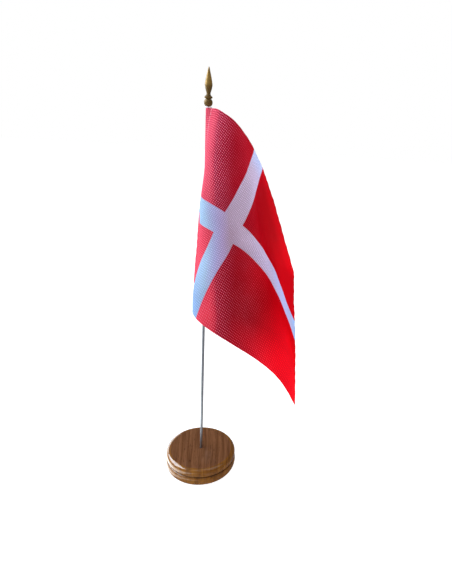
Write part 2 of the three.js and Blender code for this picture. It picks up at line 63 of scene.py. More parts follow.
# Control net of the hanging cloth, rod to fly in each row, rows from the top down.
NET = np.array([
    [[0.0, 0.0, 360.6], [2.6, -1.7, 360.8], [7.2, -7.2, 361.1], [12.6, -15.9, 357.4], [18.9, -24.4, 353.9], [24.3, -32.7, 348.4], [29.0, -41.4, 342.2], [33.4, -50.8, 335.3], [36.4, -60.5, 328.4], [39.0, -70.2, 322.6], [40.5, -80.9, 317.5], [41.0, -92.0, 313.8], [42.0, -103.3, 308.9], [43.5, -114.8, 303.3], [44.1, -126.5, 298.0], [45.0, -138.7, 292.5], [45.8, -151.3, 286.7], [46.6, -164.4, 281.0], [47.3, -173.1, 277.0], [47.8, -177.6, 274.1]],
    [[0.0, 0.0, 357.7], [1.9, -2.1, 357.8], [6.2, -7.4, 358.0], [11.2, -16.0, 354.8], [17.4, -24.3, 351.0], [23.6, -32.4, 345.8], [28.6, -40.6, 339.9], [32.6, -49.5, 333.3], [37.0, -58.8, 326.9], [40.6, -68.4, 321.5], [40.1, -78.8, 316.1], [41.4, -90.2, 311.8], [42.0, -101.5, 306.8], [42.6, -112.9, 301.1], [43.9, -124.7, 295.9], [44.8, -136.8, 290.4], [45.2, -149.3, 284.7], [45.9, -162.2, 279.2], [47.2, -170.9, 275.3], [48.3, -175.3, 272.9]],
    [[0.0, 0.0, 351.9], [1.1, -2.6, 351.9], [2.9, -8.1, 352.1], [7.8, -16.4, 350.3], [14.1, -24.2, 345.9], [20.3, -31.6, 340.2], [27.8, -39.1, 335.1], [31.8, -47.0, 328.9], [35.4, -55.6, 322.6], [38.5, -64.6, 317.5], [40.7, -75.1, 312.3], [41.1, -86.4, 307.7], [40.5, -97.6, 302.5], [41.8, -109.1, 296.9], [42.8, -120.8, 291.6], [43.8, -132.9, 286.1], [44.1, -145.3, 280.5], [44.9, -158.1, 274.8], [47.2, -166.6, 271.1], [49.4, -171.0, 269.5]],
    [[0.0, 0.0, 342.7], [0.7, -2.8, 342.7], [-0.3, -8.5, 343.0], [2.7, -16.8, 342.3], [8.8, -24.3, 338.6], [15.4, -30.9, 332.3], [23.3, -37.2, 327.1], [29.5, -43.9, 321.4], [34.0, -51.4, 315.6], [37.7, -60.0, 310.0], [39.8, -70.1, 305.1], [38.5, -81.0, 300.6], [39.2, -92.1, 295.4], [41.3, -103.4, 290.0], [42.3, -115.0, 284.6], [43.2, -127.0, 279.2], [43.9, -139.3, 273.5], [45.8, -152.0, 268.0], [48.9, -160.6, 264.7], [51.0, -164.9, 263.2]],
    [[0.0, 0.0, 333.1], [0.4, -2.8, 333.2], [-1.0, -8.4, 332.9], [-0.9, -16.9, 332.7], [3.6, -24.6, 330.2], [11.1, -30.7, 324.7], [17.2, -36.2, 318.5], [25.4, -41.7, 313.3], [33.1, -47.9, 308.2], [38.5, -55.8, 302.5], [36.4, -65.3, 297.7], [37.0, -75.8, 293.0], [39.4, -86.7, 287.7], [40.9, -97.7, 282.4], [43.1, -109.2, 277.3], [44.0, -120.9, 271.9], [45.2, -133.2, 266.2], [48.0, -145.8, 260.9], [51.3, -154.3, 258.1], [52.7, -158.7, 256.3]],
    [[0.0, 0.0, 323.0], [-0.7, -2.9, 323.2], [0.3, -8.4, 322.7], [-1.7, -16.7, 322.2], [-0.9, -24.8, 320.4], [6.4, -31.0, 315.8], [14.5, -35.9, 310.2], [20.8, -40.5, 303.9], [28.9, -45.5, 299.1], [36.6, -51.7, 295.5], [37.5, -60.4, 291.0], [38.4, -70.4, 285.3], [40.4, -80.9, 280.2], [43.0, -91.8, 275.2], [43.1, -103.0, 269.2], [46.2, -114.7, 264.3], [48.2, -126.9, 258.8], [49.9, -139.6, 253.0], [52.7, -148.3, 249.8], [54.4, -152.6, 248.4]],
    [[0.0, 0.0, 312.4], [-1.5, -2.7, 312.5], [-0.1, -8.2, 311.9], [-1.5, -16.2, 311.1], [-3.1, -24.4, 309.5], [0.8, -31.4, 306.2], [10.3, -36.1, 301.2], [17.7, -40.0, 295.2], [24.4, -44.2, 290.0], [30.8, -49.1, 286.9], [37.8, -56.1, 283.0], [41.3, -65.3, 277.6], [40.9, -75.3, 271.7], [42.3, -85.9, 266.3], [47.3, -96.8, 261.9], [49.6, -108.4, 256.7], [50.7, -120.4, 250.8], [51.8, -133.1, 244.8], [54.3, -141.8, 241.7], [56.5, -146.1, 240.6]],
    [[0.0, 0.0, 301.2], [-1.7, -2.5, 301.3], [-2.4, -7.6, 300.9], [-2.1, -15.5, 299.8], [-3.7, -23.4, 298.0], [-4.2, -31.2, 295.4], [4.2, -36.6, 292.3], [13.4, -40.2, 286.9], [19.5, -43.4, 282.4], [26.2, -47.4, 277.8], [36.7, -52.8, 273.9], [41.1, -60.9, 268.1], [42.1, -70.0, 262.7], [43.7, -79.8, 257.8], [51.9, -90.5, 254.0], [52.9, -101.9, 248.3], [53.2, -113.9, 242.2], [54.9, -126.4, 236.4], [56.6, -135.1, 233.3], [58.5, -139.5, 232.4]],
    [[0.0, 0.0, 289.8], [-1.5, -2.4, 289.9], [-5.1, -6.7, 289.5], [-3.9, -14.1, 288.3], [-3.7, -21.8, 286.3], [-6.3, -29.6, 284.3], [-3.0, -36.6, 282.7], [6.6, -40.6, 279.2], [16.6, -43.1, 275.3], [24.3, -45.9, 270.0], [29.5, -50.6, 264.4], [37.5, -56.8, 258.9], [46.9, -64.3, 255.2], [51.2, -73.8, 250.7], [50.7, -84.4, 243.7], [54.1, -96.0, 238.5], [57.9, -108.0, 233.4], [60.4, -120.7, 227.8], [61.1, -129.4, 224.1], [60.5, -133.7, 222.6]],
    [[0.0, 0.0, 278.1], [-2.7, -1.3, 278.3], [-6.6, -4.9, 277.8], [-5.0, -11.8, 276.5], [-3.4, -19.3, 274.9], [-5.5, -27.2, 272.9], [-5.2, -35.1, 272.3], [1.5, -40.9, 270.2], [11.2, -44.2, 265.9], [19.3, -46.7, 260.3], [26.7, -49.0, 256.8], [35.6, -53.0, 252.9], [44.2, -59.9, 246.3], [50.7, -69.0, 239.7], [53.2, -79.5, 233.6], [56.2, -90.8, 228.2], [59.0, -102.9, 222.6], [61.8, -115.6, 216.9], [62.8, -124.5, 213.2], [62.7, -128.9, 211.6]],
    [[0.0, 0.0, 265.7], [-3.8, 0.1, 266.0], [-7.0, -2.2, 265.3], [-5.3, -8.8, 264.0], [-2.9, -16.3, 262.4], [-3.4, -24.5, 260.7], [-5.4, -32.9, 259.7], [-2.8, -40.9, 258.0], [4.8, -46.1, 255.0], [13.5, -48.9, 251.7], [23.7, -50.8, 248.9], [30.0, -53.9, 242.8], [36.9, -59.1, 235.4], [46.5, -66.2, 228.6], [54.8, -75.1, 222.8], [58.7, -86.0, 217.2], [60.4, -97.9, 211.1], [62.2, -110.7, 204.9], [63.2, -119.5, 201.3], [64.6, -123.9, 200.0]],
    [[0.0, 0.0, 252.4], [-3.4, 1.2, 252.8], [-8.4, 0.4, 251.8], [-6.3, -6.2, 250.3], [-2.4, -13.8, 248.8], [-2.5, -22.4, 247.2], [-6.2, -31.1, 246.0], [-5.9, -40.1, 244.8], [-1.1, -47.8, 243.2], [6.6, -52.5, 240.8], [15.5, -55.2, 236.7], [24.6, -57.6, 230.9], [31.9, -60.9, 223.8], [39.6, -65.7, 216.8], [51.0, -72.5, 210.8], [60.5, -81.6, 205.8], [64.8, -93.1, 199.9], [64.9, -105.6, 193.1], [65.6, -114.3, 189.4], [66.6, -118.8, 187.8]],
    [[0.0, 0.0, 238.8], [-3.2, 1.9, 239.3], [-8.6, 2.3, 238.0], [-7.8, -4.1, 236.3], [-4.0, -12.0, 234.9], [-3.3, -20.9, 233.3], [-3.8, -30.2, 232.0], [-6.7, -39.5, 230.9], [-6.7, -48.9, 230.0], [-0.8, -55.9, 228.1], [10.0, -59.8, 223.9], [19.0, -62.5, 217.8], [27.2, -64.6, 210.8], [36.1, -67.6, 203.9], [45.1, -72.5, 197.7], [56.9, -79.4, 192.9], [65.7, -89.1, 187.6], [68.9, -101.3, 181.2], [68.5, -109.8, 177.0], [68.5, -114.0, 175.2]],
    [[0.0, 0.0, 224.7], [-2.8, 2.2, 225.2], [-8.8, 3.4, 223.7], [-9.6, -2.8, 222.0], [-6.3, -11.2, 220.5], [-4.6, -20.3, 218.9], [-3.2, -30.2, 217.4], [-7.5, -40.0, 216.5], [-10.6, -49.9, 215.8], [-6.5, -58.8, 214.1], [3.5, -64.4, 209.7], [13.4, -67.8, 203.6], [22.6, -69.3, 197.1], [31.8, -70.8, 190.5], [40.4, -74.3, 183.8], [51.2, -79.9, 178.9], [62.6, -88.0, 173.9], [70.5, -99.0, 167.9], [70.6, -107.4, 163.4], [70.0, -111.3, 161.4]],
    [[0.0, 0.0, 215.1], [-2.6, 2.4, 215.5], [-8.6, 3.8, 214.0], [-10.3, -2.4, 212.2], [-7.6, -11.0, 210.7], [-5.5, -20.4, 209.1], [-4.9, -30.5, 207.7], [-7.8, -40.7, 206.6], [-10.4, -50.9, 205.8], [-8.5, -60.6, 204.1], [-1.5, -67.4, 200.0], [9.2, -71.2, 193.9], [18.6, -72.5, 187.7], [26.8, -73.0, 181.6], [39.1, -76.1, 174.8], [48.5, -81.0, 169.3], [58.9, -88.7, 164.2], [67.8, -99.4, 158.1], [70.0, -107.8, 153.5], [70.7, -111.9, 151.4]],
    [[0.0, 0.0, 210.2], [-2.3, 2.6, 210.7], [-8.6, 4.0, 209.2], [-10.6, -2.1, 207.3], [-8.3, -10.8, 205.9], [-6.4, -20.3, 204.4], [-5.2, -30.5, 202.9], [-7.2, -41.0, 201.8], [-9.8, -51.4, 200.9], [-9.3, -61.5, 199.0], [-3.7, -68.8, 195.2], [6.5, -72.9, 189.0], [16.3, -74.0, 183.0], [25.1, -74.1, 177.0], [37.4, -76.8, 170.3], [47.5, -81.3, 164.9], [57.4, -88.9, 159.6], [65.7, -99.6, 152.9], [68.9, -108.2, 148.2], [70.6, -112.5, 146.1]],
], float)


# ---- cloth surface -----------------------------------------------------------
def knots(n):
    inner = [0.72 * (i / (n - 3)) + 0.28 * (i / (n - 3)) ** 2 for i in range(n - 2)]
    return np.array([0, 0, 0] + inner + [1, 1, 1])


def basis(n, x):
    k = knots(n)
    x = np.clip(np.asarray(x, float), 0, 1 - 1e-9)
    b = [((x >= k[i]) & (x < k[i + 1])).astype(float) for i in range(n + 3)]
    for d in range(1, 4):
        for i in range(n + 3 - d):
            a, c = k[i + d] - k[i], k[i + d + 1] - k[i + 1]
            b[i] = ((x - k[i]) / a * b[i] if a > 0 else 0) + (
                (k[i + d + 1] - x) / c * b[i + 1] if c > 0 else 0
            )
    return np.stack(b[:n], -1)


def surface(s, t):
    """Points for matching arrays s and t."""
    return np.einsum("...j,...i,ijk->...k", basis(NET.shape[1], s), basis(NET.shape[0], t), NET)


def surface_normal(s, t):
    e = 2e-3
    du = surface(np.minimum(s + e, 1), t) - surface(np.maximum(s - e, 0), t)
    dv = surface(s, np.minimum(t + e, 1)) - surface(s, np.maximum(t - e, 0))
    n = np.cross(du, dv)
    return n / np.linalg.norm(n, axis=-1, keepdims=True)


def at_radius(r, t):
    lo, hi = np.zeros_like(t), np.full_like(t, 0.08)
    for _ in range(40):
        mid = (lo + hi) / 2
        p = surface(mid, t)
        near = np.hypot(p[..., 0], p[..., 1]) < r
        lo, hi = np.where(near, mid, lo), np.where(near, hi, mid)
    return hi


# ---- mesh helpers ------------------------------------------------------------
def new_object(name, verts, faces, smooth=True):
    mesh = bpy.data.meshes.new(name)
    mesh.from_pydata([tuple(float(c) for c in v) for v in verts], [], faces)
    mesh.validate()
    mesh.update()
    if smooth:
        mesh.polygons.foreach_set("use_smooth", [True] * len(mesh.polygons))
    ob = bpy.data.objects.new(name, mesh)
    bpy.context.scene.collection.objects.link(ob)
    return ob


def outward(ob):
    bm = bmesh.new()
    bm.from_mesh(ob.data)
    bmesh.ops.recalc_face_normals(bm, faces=bm.faces)
    bm.to_mesh(ob.data)
    bm.free()


def fillet(points, radius, n=4):
    """The polyline with each inner corner of the list rounded. points: (r, z, radius or None)."""
    out = []
    for i, p in enumerate(points):
        rad = p[2] if len(p) > 2 and p[2] is not None else radius
        if i in (0, len(points) - 1) or rad <= 0:
            out.append((p[0], p[1]))
            continue
        a, b, c = (np.array(points[k][:2], float) for k in (i - 1, i, i + 1))
        da, dc = a - b, c - b
        la, lc = np.linalg.norm(da), np.linalg.norm(dc)
        cut = min(rad, la * 0.45, lc * 0.45)
        if cut < 1e-4:
            out.append(tuple(b))
            continue
        s, e = b + da / la * cut, b + dc / lc * cut
        for k in range(n + 1):
            w = k / n
            out.append(tuple((1 - w) ** 2 * s + 2 * w * (1 - w) * b + w * w * e))
    return out


def lathe(name, profile, segments, wobble=None):
    """A closed body of revolution from (r, z) in mm, from the axis or a bore round and back."""
    verts, faces, rings = [], [], []
    for k, (r, z) in enumerate(profile):
        if r < 1e-6:
            rings.append([len(verts)])
            verts.append((0, 0, z * MM))
        else:
            ring = []
            for i in range(segments):
                a = 2 * math.pi * i / segments
                rr = r * (wobble(a, z) if wobble else 1)
                ring.append(len(verts))
                verts.append((rr * math.cos(a) * MM, rr * math.sin(a) * MM, z * MM))
            rings.append(ring)
    pairs = list(zip(rings, rings[1:]))
    if len(rings[0]) > 1:
        pairs.append((rings[-1], rings[0]))
    for a, b in pairs:
        if len(a) == 1 and len(b) == 1:
            continue
        for i in range(segments):
            j = (i + 1) % segments
            if len(a) == 1:
                faces.append((a[0], b[i], b[j]))
            elif len(b) == 1:
                faces.append((a[i], a[j], b[0]))
            else:
                faces.append((a[i], a[j], b[j], b[i]))
    ob = new_object(name, verts, faces)
    outward(ob)
    return ob


def sharpen(ob, degrees):
    """Keeps edges sharper than this angle crisp under smooth shading."""
    ob.data.set_sharp_from_angle(angle=math.radians(degrees))


# ---- material helpers --------------------------------------------------------
class Tree:
    def __init__(self, name):
        self.material = bpy.data.materials.new(name)
        self.material.use_nodes = True
        self.nt = self.material.node_tree
        self.nt.nodes.clear()
        self.out = self.nt.nodes.new("ShaderNodeOutputMaterial")

    def put(self, socket, value):
        if isinstance(value, bpy.types.NodeSocket):
            self.nt.links.new(value, socket)
        elif value is not None:
            socket.default_value = value

    def node(self, kind, **props):
        n = self.nt.nodes.new(kind)
        for k, v in props.items():
            setattr(n, k, v)
        return n

    def math(self, op, a, b=None, c=None, clamp=False):
        n = self.node("ShaderNodeMath", operation=op, use_clamp=clamp)
        for socket, v in zip(n.inputs, (a, b, c)):
            self.put(socket, v)
        return n.outputs[0]

    def span(self, v, lo, hi, to_lo=0.0, to_hi=1.0, smooth=True):
        n = self.node(
            "ShaderNodeMapRange",
            interpolation_type="SMOOTHSTEP" if smooth else "LINEAR",
            clamp=True,
        )
        for k, x in zip(("Value", "From Min", "From Max", "To Min", "To Max"), (v, lo, hi, to_lo, to_hi)):
            self.put(n.inputs[k], x)
        return n.outputs[0]

    def mix(self, fac, a, b, blend="MIX"):
        n = self.node("ShaderNodeMix", data_type="RGBA", blend_type=blend, clamp_factor=True)
        ins = {s.identifier: s for s in n.inputs}
        self.put(ins["Factor_Float"], fac)
        self.put(ins["A_Color"], (*a, 1) if isinstance(a, tuple) and len(a) == 3 else a)
        self.put(ins["B_Color"], (*b, 1) if isinstance(b, tuple) and len(b) == 3 else b)
        return next(s for s in n.outputs if s.identifier == "Result_Color")

    def ramp(self, v, stops):
        n = self.node("ShaderNodeValToRGB")
        self.put(n.inputs["Fac"], v)
        e = n.color_ramp.elements
        while len(e) < len(stops):
            e.new(0.5)
        for k, (at, c) in enumerate(stops):
            e[k].position = at
        for k, (at, c) in enumerate(stops):
            e[k].color = (*c, 1)
        return n.outputs["Color"]

    def noise(self, vector, scale, detail=2.0, rough=0.5, distortion=0.0):
        n = self.node("ShaderNodeTexNoise")
        self.put(n.inputs["Vector"], vector)
        self.put(n.inputs["Scale"], scale)
        self.put(n.inputs["Detail"], detail)
        self.put(n.inputs["Roughness"], rough)
        self.put(n.inputs["Distortion"], distortion)
        return n.outputs["Fac"]

    def scaled(self, vector, by, offset=(0, 0, 0), turn=(0, 0, 0)):
        n = self.node("ShaderNodeMapping")
        self.put(n.inputs["Vector"], vector)
        self.put(n.inputs["Scale"], by)
        self.put(n.inputs["Location"], offset)
        self.put(n.inputs["Rotation"], turn)
        return n.outputs[0]

    def place(self):
        return self.node("ShaderNodeTexCoord").outputs["Object"]

    def split(self, vector):
        n = self.node("ShaderNodeSeparateXYZ")
        self.put(n.inputs[0], vector)
        return n.outputs

    def join(self, x, y, z=0.0):
        n = self.node("ShaderNodeCombineXYZ")
        for socket, v in zip(n.inputs, (x, y, z)):
            self.put(socket, v)
        return n.outputs[0]

    def bump(self, height, strength, distance, normal=None):
        n = self.node("ShaderNodeBump")
        self.put(n.inputs["Height"], height)
        self.put(n.inputs["Strength"], strength)
        self.put(n.inputs["Distance"], distance)
        self.put(n.inputs["Normal"], normal)
        return n.outputs[0]

    def principled(self, **values):
        n = self.node("ShaderNodeBsdfPrincipled")
        for k, v in values.items():
            if isinstance(v, tuple) and len(v) == 3:
                v = (*v, 1)
            self.put(n.inputs[k.replace("_", " ")], v)
        return n

    def finish(self, shader):
        self.nt.links.new(shader, self.out.inputs["Surface"])
        return self.material


def dress(ob, material):
    ob.data.materials.clear()
    ob.data.materials.append(material)


# ---- materials ---------------------------------------------------------------
def cloth_material():
    t = Tree("knitted_flag_cloth")
    uv = t.node("ShaderNodeUVMap", uv_map="cloth").outputs[0]
    mm = t.scaled(uv, (1000, 1000, 1000))
    u, v, _ = t.split(mm)
    soft = t.math("MULTIPLY", t.math("SUBTRACT", t.noise(mm, 0.9, 2.0), 0.5), 0.35)
    ub, vb = t.math("ADD", u, soft), t.math("ADD", v, soft)
    w = 0.2
    u0, u1 = BAR_S[0] * FLY, BAR_S[1] * FLY
    v0, v1 = BAR_T[0] * HOIST, BAR_T[1] * HOIST
    upright = t.math("MULTIPLY", t.span(ub, u0 - w, u0 + w), t.span(ub, u1 + w, u1 - w))
    level = t.math("MULTIPLY", t.span(vb, v0 - w, v0 + w), t.span(vb, v1 + w, v1 - w))
    white = t.math("MAXIMUM", upright, level)
    # the knit: small openings in rows, with fine wales between them
    P = 1.65
    ju = t.math("ADD", u, t.math("MULTIPLY", t.math("SUBTRACT", t.noise(mm, 0.35, 1.0), 0.5), 0.9))
    jv = t.math("ADD", v, t.math("MULTIPLY", t.math("SUBTRACT", t.noise(t.scaled(mm, (1, 1, 1), (31, 7, 0)), 0.35, 1.0), 0.5), 0.9))
    cu = t.math("COSINE", t.math("MULTIPLY", ju, 2 * math.pi / P))
    cv = t.math("COSINE", t.math("MULTIPLY", jv, 2 * math.pi / P))
    cell = t.math("MULTIPLY", t.math("ADD", cu, cv), 0.5)
    eye = t.span(cell, 0.15, 0.85)
    fine = t.math("SINE", t.math("MULTIPLY", u, 2 * math.pi / 0.55))
    # painted light and shade, in a band that leans away from the sleeve towards the foot: beside the sleeve
    # the red is painted pale and pink and the knit's openings are painted bright, as light coming through
    # them; further out the red is painted darker, and the openings fade out towards the fly
    lean = t.math("SUBTRACT", u, t.math("ADD", 3.8, t.math("MULTIPLY", v, 0.62)))
    cloud = t.noise(mm, 0.045, 2.0, 0.5)
    wander = t.math("MULTIPLY", t.math("SUBTRACT", cloud, 0.5), 3.0)
    band = t.math("ADD", lean, wander)
    share = t.span(band, -20.0, 180.0, smooth=False)
    along = lambda stops: t.ramp(share, [((x + 20.0) / 200.0, c) for x, c in stops])
    painted_through_light_near = t.math("MULTIPLY", t.span(band, -1.0, 8.0, 0.3, 1.0), t.span(band, 32.0, 10.0))
    # painted light: openings also painted bright in the middle of the panel, more so lower down
    painted_through_light_low = t.math("MULTIPLY", t.span(cloud, 0.3, 0.7, 0.10, 0.20), t.math("MULTIPLY", t.span(band, 78.0, 36.0), t.span(v, 70.0, 110.0, 1.0, 1.9)))
    painted_through_light_near = t.math("MULTIPLY", painted_through_light_near, t.span(v, 70.0, 115.0, EYE_THROUGH_LIGHT, EYE_THROUGH_LIGHT * 0.68))
    seen = t.math("ADD", painted_through_light_near, painted_through_light_low)
    # painted light: the openings show stronger beside the sleeve, and in the white they are painted paler,
    # as light coming through them
    weave = t.math("MULTIPLY", t.math("SUBTRACT", eye, 0.2), t.span(band, 130.0, 60.0, 0.06, 0.6))
    hole = t.math("MULTIPLY", eye, t.math("MULTIPLY", t.span(band, -5.0, 10.0, 0.3, 1.0), t.span(band, 130.0, 70.0, 0.3, 1.0)))
    eye = t.math("MULTIPLY", eye, seen)
    red = along(RED_BAND)
    red_eye = t.mix(0.75, red, (1.0, 0.30, 0.44))
    # painted light and shade: the red is painted brighter towards the fly's lower corner, in the middle, at
    # the foot, along the top edge and at the fly, and darker as painted shade across the upper middle and at
    # the fly's lowest part
    both = lambda x, y: t.math("MULTIPLY", x, y)
    corner = both(both(t.span(u, 122.0, 158.0), t.span(v, 88.0, 130.0)), 0.8)
    middle = both(both(both(t.span(v, 75.0, 95.0), t.span(u, 138.0, 116.0)), t.span(u, 75.0, 92.0)), 0.25)
    foot = both(both(t.span(v, 122.0, 144.0), t.span(u, 108.0, 130.0)), 0.75)
    fly = both(both(t.span(v, 105.0, 146.0), t.span(u, 158.0, 180.0)), -0.65)
    shade = both(both(both(t.span(u, 70.0, 110.0), t.span(u, 190.0, 135.0)), t.span(v, 84.0, 32.0)), -0.26)
    rim = both(both(t.span(u, 50.0, 90.0), t.span(v, 13.0, 2.0)), 0.28)
    hem = both(both(t.span(u, 158.0, 186.0), t.span(v, 30.0, 85.0)), 0.16)
    painted_light_gain = 1.0
    for part in (corner, middle, foot, fly, shade, rim, hem):
        painted_light_gain = t.math("ADD", painted_light_gain, part)
    calm = both(painted_light_gain, t.span(v, 40.0, 120.0, 1.0, 0.62))
    red = t.mix(1.0, red, t.join(painted_light_gain, calm, calm), "MULTIPLY")
    # painted light: a faint pale veil over the red towards the foot
    red = t.mix(both(t.span(v, 92.0, 150.0), 0.012), red, (0.9, 0.5, 0.9))
    red = t.mix(eye, red, red_eye)
    pale = along(WHITE_BAND)
    # painted light: the white is painted bluer along the top edge and at the foot near the sleeve, and paler
    # at its openings, as light coming through them
    pale = t.mix(both(t.span(v, 16.0, 2.0), 0.8), pale, (0.42, 0.53, 0.80))
    pale = t.mix(both(both(t.span(v, 122.0, 150.0), t.span(u, 90.0, 80.0)), 0.8), pale, (0.26, 0.43, 0.76))
    pale = t.mix(t.math("MULTIPLY", hole, 0.62), pale, WHITE_EYE)
    colour = t.mix(white, red, pale)
    tone = t.span(t.noise(mm, 0.02, 3.0, 0.5), 0.3, 0.7, 0.93, 1.05)
    tone = t.math("MULTIPLY", tone, t.math("ADD", 1.0, t.math("ADD", weave, t.math("MULTIPLY", fine, 0.03))))
    colour = t.mix(1.0, colour, t.join(tone, tone, tone), "MULTIPLY")
    height = t.math("ADD", t.math("MULTIPLY", eye, -1.0), t.math("MULTIPLY", fine, 0.18))
    rough = t.span(cell, -1, 1, 0.66, 0.8)
    normal = t.bump(height, 0.35, 0.00012)
    p = t.principled(
        Base_Color=colour,
        Roughness=rough,
        Specular_IOR_Level=0.005,
        Sheen_Weight=0.002,
        Sheen_Roughness=0.5,
        Sheen_Tint=(1.0, 0.3, 0.4),
        Normal=normal,
    )
    back = t.node("ShaderNodeBsdfTranslucent")
    t.put(back.inputs["Color"], t.mix(white, t.mix(eye, (0.75, 0.0005, 0.005), (0.9, 0.08, 0.11)), t.mix(eye, (0.55, 0.5, 0.62), (0.8, 0.8, 0.9))))
    t.put(back.inputs["Normal"], normal)
    m = t.node("ShaderNodeMixShader")
    m.inputs[0].default_value = 0.25
    t.nt.links.new(p.outputs[0], m.inputs[1])
    t.nt.links.new(back.outputs[0], m.inputs[2])
    return t.finish(m.outputs[0])


def thread_material():
    t = Tree("sewing_thread")
    at = t.place()
    twist = t.math("SINE", t.math("MULTIPLY", t.math("ADD", t.split(at)[2], t.math("MULTIPLY", t.split(at)[0], 0.8)), 2 * math.pi / 0.0004))
    colour = t.mix(t.span(twist, -1, 1), (0.90, 0.28, 0.36), (0.97, 0.50, 0.56))
    rough = t.span(twist, -1, 1, 0.5, 0.65)
    p = t.principled(Base_Color=colour, Roughness=rough, Sheen_Weight=0.3, Sheen_Roughness=0.4, Normal=t.bump(twist, 0.5, 0.00004))
    return t.finish(p.outputs[0])


def wood_material():
    t = Tree("lacquered_hardwood")
    at = t.place()
    x, y, z = t.split(at)
    # straight grain along Y, slow across the thickness
    bend = t.math("MULTIPLY", t.math("SUBTRACT", t.noise(t.scaled(at, (14, 9, 6)), 1.0, 2.0), 0.5), 0.006)
    gx = t.math("ADD", x, bend)
    along = t.join(gx, t.math("MULTIPLY", y, 0.035), t.math("MULTIPLY", z, 0.16))
    broad = t.noise(along, 330, 2.0, 0.5)
    fine = t.noise(along, 900, 3.0, 0.6)
    pores_at = t.join(t.math("MULTIPLY", gx, 1.0), t.math("MULTIPLY", y, 0.09), t.math("MULTIPLY", z, 0.3))
    pores = t.span(t.noise(pores_at, 1500, 1.0, 0.5), 0.62, 0.74)
    body = t.mix(t.span(broad, 0.32, 0.68), WOOD_DARK, WOOD_LIGHT)
    body = t.mix(t.span(fine, 0.35, 0.7, 0.0, 0.55), body, WOOD_STREAK)
    body = t.mix(t.math("MULTIPLY", pores, 0.55), body, (0.02, 0.009, 0.004))
    # painted shade: the turned side is painted darker in the groove
    groove = t.math("ABSOLUTE", t.math("SUBTRACT", z, GROOVE_Z * MM))
    radius = t.math("SQRT", t.math("ADD", t.math("MULTIPLY", x, x), t.math("MULTIPLY", y, y)))
    side = t.span(radius, 0.0325, 0.0335)
    dark = t.math("MULTIPLY", t.span(groove, 0.0014, 0.0002), side)
    top = t.math("MULTIPLY", t.span(radius, (BASE_TOP_R + 0.9) * MM, (BASE_TOP_R - 0.1) * MM), t.span(z, GROOVE_Z * MM, (GROOVE_Z + 1) * MM))
    # painted light: the turned side is tinted warmer and more golden than the flat top, for the difference
    # in how they are lit
    body = t.mix(top, t.mix(1.0, body, WOOD_SIDE_TINT, "MULTIPLY"), body)
    # painted shade in the groove
    body = t.mix(t.math("MULTIPLY", dark, 0.4), body, (0.02, 0.008, 0.003))
    scuff = t.span(t.noise(t.scaled(at, (60, 22, 60), (3, 1, 0)), 1.0, 4.0, 0.6), 0.56, 0.78)
    body = t.mix(t.math("MULTIPLY", scuff, 0.10), body, (0.42, 0.36, 0.32))
    rough = t.math("ADD", t.span(fine, 0.3, 0.7, 0.30, 0.42), t.math("MULTIPLY", scuff, 0.15))
    height = t.math("SUBTRACT", t.math("MULTIPLY", fine, 0.4), t.math("MULTIPLY", pores, 1.0))
    normal = t.bump(height, 0.25, 0.00006)
    # the lacquer pools on the turned side and is rubbed thin on the flat top
    coat = t.math("MULTIPLY", t.math("SUBTRACT", 1.0, t.math("MULTIPLY", top, 0.94)), t.math("SUBTRACT", 1.0, t.math("MULTIPLY", scuff, 0.1)))
    p = t.principled(
        Base_Color=body,
        Roughness=rough,
        Specular_IOR_Level=0.012,
        Coat_Weight=coat,
        Coat_Roughness=0.1,
        Coat_IOR=1.5,
        Normal=normal,
    )
    return t.finish(p.outputs[0])


def felt_material():
    t = Tree("dark_felt")
    at = t.place()
    n = t.noise(at, 3000, 4.0, 0.7)
    m = t.noise(at, 300, 2.0, 0.5)
    colour = t.mix(t.span(n, 0.3, 0.7), (0.012, 0.03, 0.018), (0.05, 0.085, 0.055))
    colour = t.mix(t.math("MULTIPLY", m, 0.4), colour, (0.03, 0.05, 0.035))
    p = t.principled(Base_Color=colour, Roughness=t.span(n, 0, 1, 0.85, 1.0), Sheen_Weight=0.5, Sheen_Roughness=0.6, Specular_IOR_Level=0.1, Normal=t.bump(n, 0.8, 0.0003))
    return t.finish(p.outputs[0])


def steel_material():
    t = Tree("drawn_steel")
    at = t.place()
    draw = t.noise(t.scaled(at, (1, 1, 0.02)), 9000, 2.0, 0.6)
    blot = t.noise(at, 60, 3.0, 0.6)
    colour = t.mix(t.span(blot, 0.3, 0.75), ROD_A, ROD_B)
    rough = t.math("ADD", t.span(draw, 0.3, 0.7, 0.38, 0.48), t.math("MULTIPLY", blot, 0.08))
    p = t.principled(Base_Color=colour, Metallic=1.0, Roughness=rough, Normal=t.bump(draw, 0.25, 0.00002))
    return t.finish(p.outputs[0])


def gold_material():
    t = Tree("gold_moulding")
    at = t.place()
    n = t.noise(at, 700, 4.0, 0.65)
    b = t.noise(t.scaled(at, (1, 1, 1), (0.3, 0.1, 0.7)), 180, 2.0, 0.5)
    colour = t.mix(t.span(b, 0.3, 0.7), GOLD_A, GOLD_B)
    colour = t.mix(t.span(n, 0.6, 0.8, 0.0, 0.5), colour, (0.1, 0.06, 0.02))
    # darker towards the bottom, from about the spear's widest part down over the neck, collar and ball
    low = t.span(t.split(at)[2], (FINIAL_Z + 19) * MM, (FINIAL_Z + 14.5) * MM, 0.0, 0.6)
    colour = t.mix(low, colour, (0.06, 0.035, 0.014))
    rough = t.span(n, 0.3, 0.7, 0.42, 0.56)
    p = t.principled(Base_Color=colour, Metallic=0.15, Roughness=rough, Specular_IOR_Level=0.1, Normal=t.bump(n, 0.18, 0.0001))
    return t.finish(p.outputs[0])


def nylon_material():
    t = Tree("white_nylon")
    at = t.place()
    n = t.noise(at, 1500, 3.0, 0.5)
    colour = t.mix(t.span(n, 0.3, 0.7), (0.96, 0.90, 0.96), (1.0, 0.97, 1.0))
    p = t.principled(Base_Color=colour, Roughness=t.span(n, 0, 1, 0.35, 0.5), Specular_IOR_Level=0.5, Subsurface_Weight=0.1, Subsurface_Scale=0.001, Normal=t.bump(n, 0.1, 0.0001))
    return t.finish(p.outputs[0])
